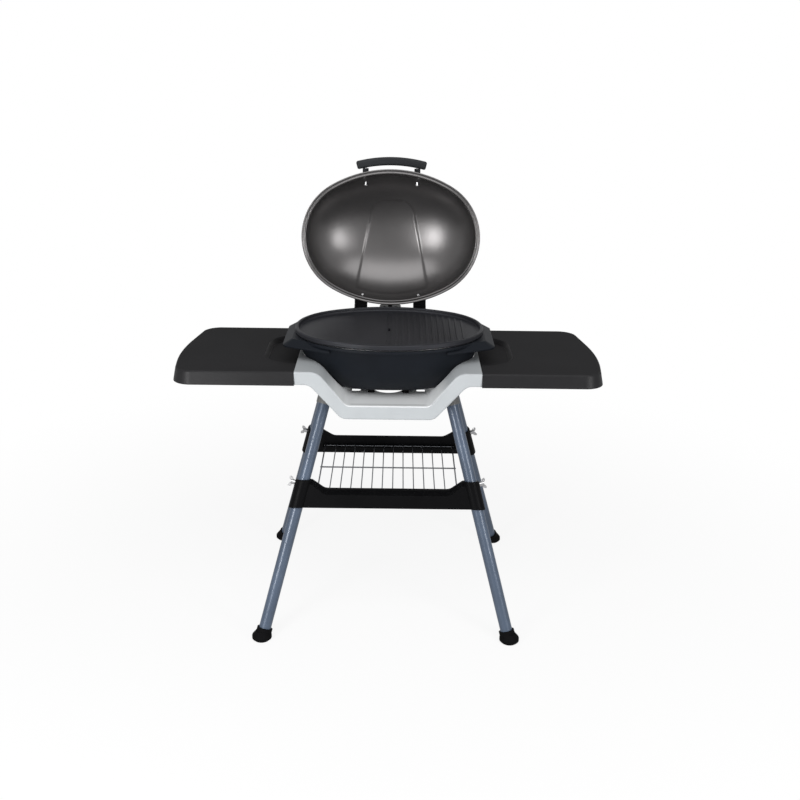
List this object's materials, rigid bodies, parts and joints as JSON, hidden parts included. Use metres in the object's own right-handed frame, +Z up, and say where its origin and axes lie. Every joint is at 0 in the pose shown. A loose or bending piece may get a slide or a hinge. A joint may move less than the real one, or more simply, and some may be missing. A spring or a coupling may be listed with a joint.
{
  "type": "electric grill",
  "caption": "Oval electric grill with a hinged domed lid, set in a moulded saddle between side tables on a splayed tubular stand with a wire shelf.",
  "frame": {"origin": "on the floor under the middle of the stand, in the plane of the feet's soles", "axes": "+Z up; -Y towards the cook at the front; +X to the cook's right"},
  "size_m": [1.1158, 0.6609, 1.1932],
  "materials": {
    "pale_plastic": "smooth light grey moulding",
    "table_plastic": "fine-grained charcoal moulding",
    "bar_plastic": "near-black moulding",
    "bracket_plastic": "mid grey moulding",
    "handle_plastic": "smooth charcoal moulding",
    "control_plastic": "satin black moulding",
    "leg_paint": "satin slate-blue powder coat",
    "bowl_enamel": "blue-black enamel",
    "hinge_paint": "satin black",
    "plate_coating": "dark non-stick coating on cast aluminium",
    "lid_metal": "dark satin coating",
    "liner_metal": "plain bright sheet",
    "element_metal": "dull heat-stained tube",
    "screw_steel": "zinc-plated",
    "rack_wire": "bright plated wire",
    "ceramic": null,
    "foot_rubber": "matt black",
    "lamp_lens": "red translucent lens"
  },
  "bodies": {
    "stand": {"leg_front_left": "leg_paint", "leg_rear_left": "leg_paint", "leg_front_right": "leg_paint", "leg_rear_right": "leg_paint", "foot_front_left": "foot_rubber", "foot_rear_left": "foot_rubber", "foot_front_right": "foot_rubber", "foot_rear_right": "foot_rubber", "leg_bracket_front_left": "bracket_plastic", "leg_bracket_rear_left": "bracket_plastic", "leg_bracket_front_right": "bracket_plastic", "leg_bracket_rear_right": "bracket_plastic", "cradle": "pale_plastic", "bracket_screws": "screw_steel", "table_screws": "screw_steel", "side_table_left": "table_plastic", "side_table_right": "table_plastic", "shelf_bar_front": "bar_plastic", "shelf_bar_rear": "bar_plastic", "wire_rack": "rack_wire"},
    "cooker": {"bowl": "bowl_enamel", "bowl_feet": "foot_rubber", "heat_liner": "liner_metal", "drip_tray": "liner_metal", "grill_plate": "plate_coating", "heating_element": "element_metal", "element_clips": "screw_steel", "terminal_block": "ceramic", "hinge_base_left": "hinge_paint", "hinge_base_right": "hinge_paint", "hinge_base_screws": "screw_steel", "hinge_pins": "screw_steel"},
    "lid": {"lid_shell": "lid_metal", "handle_grip": "handle_plastic", "handle_posts": "handle_plastic", "handle_screws": "screw_steel", "hinge_leaf_screws": "screw_steel", "hinge_leaf_left": "hinge_paint", "hinge_leaf_right": "hinge_paint"},
    "control": {"control_upper_shell": "control_plastic", "control_lower_shell": "control_plastic", "thermostat_probe": "element_metal", "contact_sleeves": "element_metal", "pilot_lamp": "lamp_lens", "cord_gland": "foot_rubber"},
    "dial": {"dial_knob": "control_plastic", "dial_shaft": "screw_steel"},
    "wing_front_left": {"wing_screw_front_left": "screw_steel"},
    "wing_rear_left": {"wing_screw_rear_left": "screw_steel"},
    "wing_front_right": {"wing_screw_front_right": "screw_steel"},
    "wing_rear_right": {"wing_screw_rear_right": "screw_steel"}
  },
  "joints": [
    {"name": "cooker_lift", "type": "slide", "parent": "stand", "child": "cooker", "axis": [0, 0, 1], "range_m": [0, 0.15]},
    {"name": "lid_hinge", "type": "hinge", "parent": "cooker", "child": "lid", "pos_m": [0, 0.203, 0.774], "axis": [1, 0, 0], "range_deg": [0, 91.8]},
    {"name": "control_pull", "type": "slide", "parent": "cooker", "child": "control", "axis": [0, 1, 0], "range_m": [0, 0.13]},
    {"name": "dial_turn", "type": "hinge", "parent": "control", "child": "dial", "pos_m": [0, 0.252, 0.7705], "axis": [0, 0, 1], "range_deg": [0, 270]},
    {"name": "wing_turn_front_left", "type": "hinge", "parent": "stand", "child": "wing_front_left", "pos_m": [-0.22335, -0.16977, 0.39743], "axis": [-0.9691, 0.0709, 0.2363], "continuous": true},
    {"name": "wing_turn_rear_left", "type": "hinge", "parent": "stand", "child": "wing_rear_left", "pos_m": [-0.21917, 0.16505, 0.41317], "axis": [-0.9691, -0.0709, 0.2363], "continuous": true},
    {"name": "wing_turn_front_right", "type": "hinge", "parent": "stand", "child": "wing_front_right", "pos_m": [0.22335, -0.16977, 0.39743], "axis": [0.9691, 0.0709, 0.2363], "continuous": true},
    {"name": "wing_turn_rear_right", "type": "hinge", "parent": "stand", "child": "wing_rear_right", "pos_m": [0.21917, 0.16505, 0.41317], "axis": [0.9691, -0.0709, 0.2363], "continuous": true}
  ]
}
